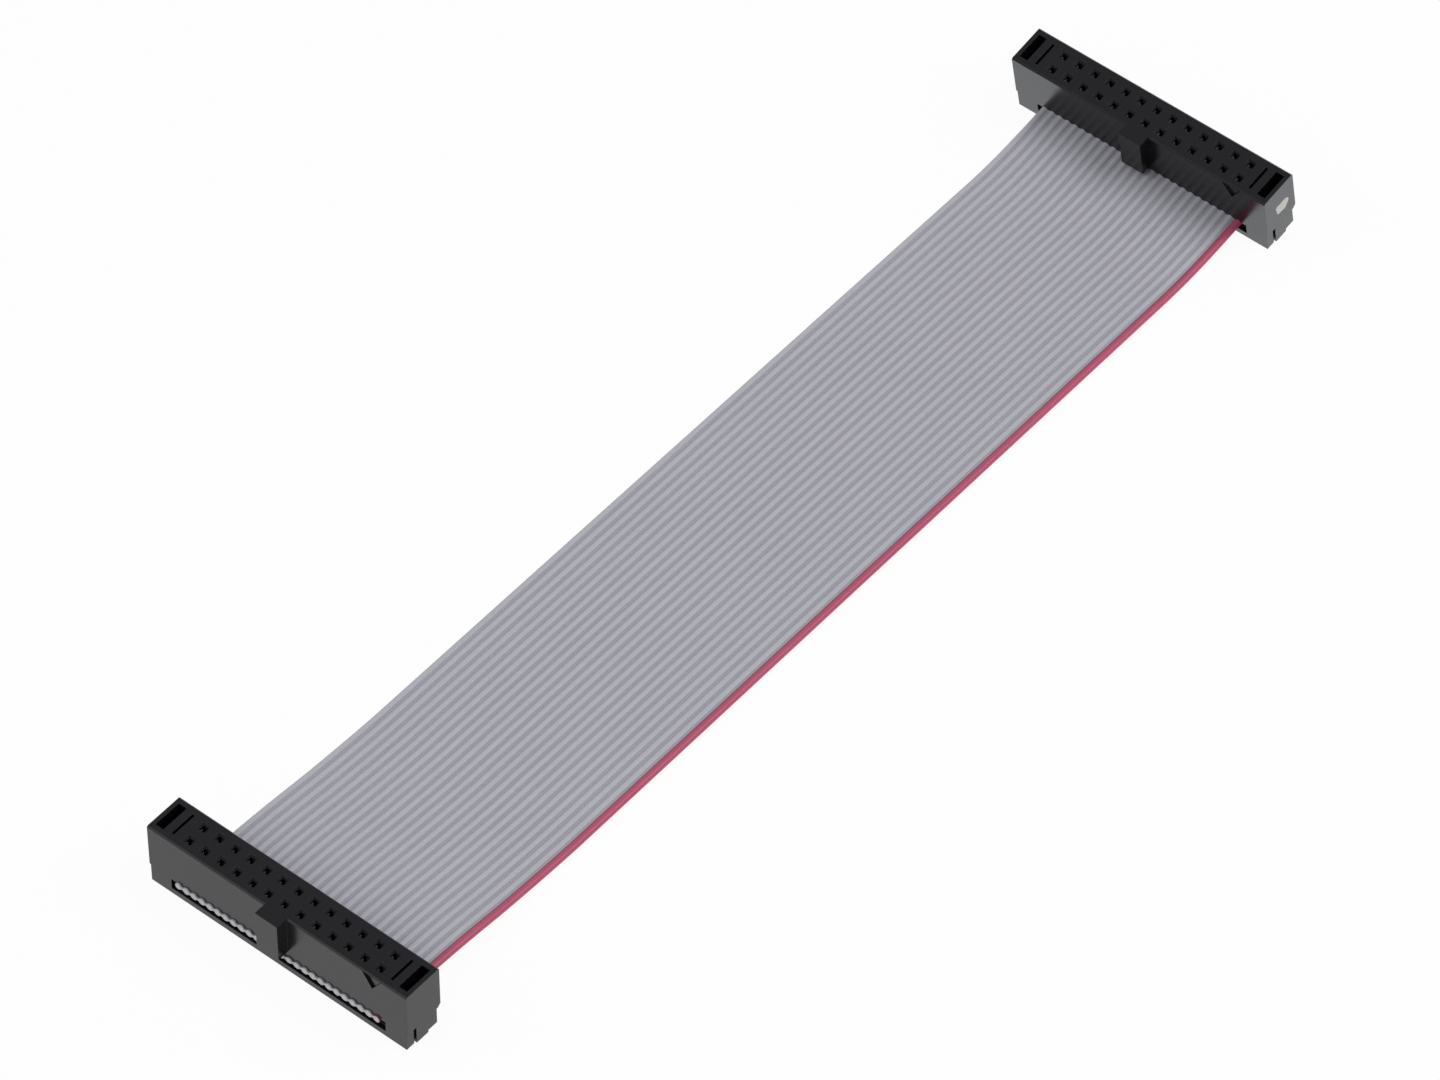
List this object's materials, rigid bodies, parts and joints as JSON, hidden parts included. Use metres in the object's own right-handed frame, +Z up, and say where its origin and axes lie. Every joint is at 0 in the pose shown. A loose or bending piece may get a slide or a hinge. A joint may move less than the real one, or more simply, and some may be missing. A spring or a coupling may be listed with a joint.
{
  "type": "ribbon cable",
  "caption": "Short flat grey ribbon cable with a red edge wire and an identical black two-row insulation-displacement socket, mating face up, pressed on each end.",
  "frame": {"origin": "middle of the cable's length and width, on the surface it lies on", "axes": "+X across the ribbon towards the red edge wire, +Y along the ribbon from the near socket to the far socket, +Z up, the way both sockets' pin holes face"},
  "size_m": [0.0412, 0.1769, 0.0109],
  "materials": {
    "black_housing": "satin",
    "black_cap": "satin",
    "grey_insulation": "semi-gloss",
    "copper": "tinned stranded copper",
    "contact_metal": "thin gold flash"
  },
  "bodies": {
    "root": {"near_housing": "black_housing", "near_cap": "black_cap", "far_housing": "black_housing", "far_cap": "black_cap", "ribbon_insulation": "grey_insulation", "wire_cores": "copper", "near_contact_1": "contact_metal", "near_contact_2": "contact_metal", "near_contact_3": "contact_metal", "near_contact_4": "contact_metal", "near_contact_5": "contact_metal", "near_contact_6": "contact_metal", "near_contact_7": "contact_metal", "near_contact_8": "contact_metal", "near_contact_9": "contact_metal", "near_contact_10": "contact_metal", "near_contact_11": "contact_metal", "near_contact_12": "contact_metal", "near_contact_13": "contact_metal", "near_contact_14": "contact_metal", "near_contact_15": "contact_metal", "near_contact_16": "contact_metal", "near_contact_17": "contact_metal", "near_contact_18": "contact_metal", "near_contact_19": "contact_metal", "near_contact_20": "contact_metal", "near_contact_21": "contact_metal", "near_contact_22": "contact_metal", "near_contact_23": "contact_metal", "near_contact_24": "contact_metal", "near_contact_25": "contact_metal", "near_contact_26": "contact_metal", "far_contact_1": "contact_metal", "far_contact_2": "contact_metal", "far_contact_3": "contact_metal", "far_contact_4": "contact_metal", "far_contact_5": "contact_metal", "far_contact_6": "contact_metal", "far_contact_7": "contact_metal", "far_contact_8": "contact_metal", "far_contact_9": "contact_metal", "far_contact_10": "contact_metal", "far_contact_11": "contact_metal", "far_contact_12": "contact_metal", "far_contact_13": "contact_metal", "far_contact_14": "contact_metal", "far_contact_15": "contact_metal", "far_contact_16": "contact_metal", "far_contact_17": "contact_metal", "far_contact_18": "contact_metal", "far_contact_19": "contact_metal", "far_contact_20": "contact_metal", "far_contact_21": "contact_metal", "far_contact_22": "contact_metal", "far_contact_23": "contact_metal", "far_contact_24": "contact_metal", "far_contact_25": "contact_metal", "far_contact_26": "contact_metal"}
  },
  "joints": []
}
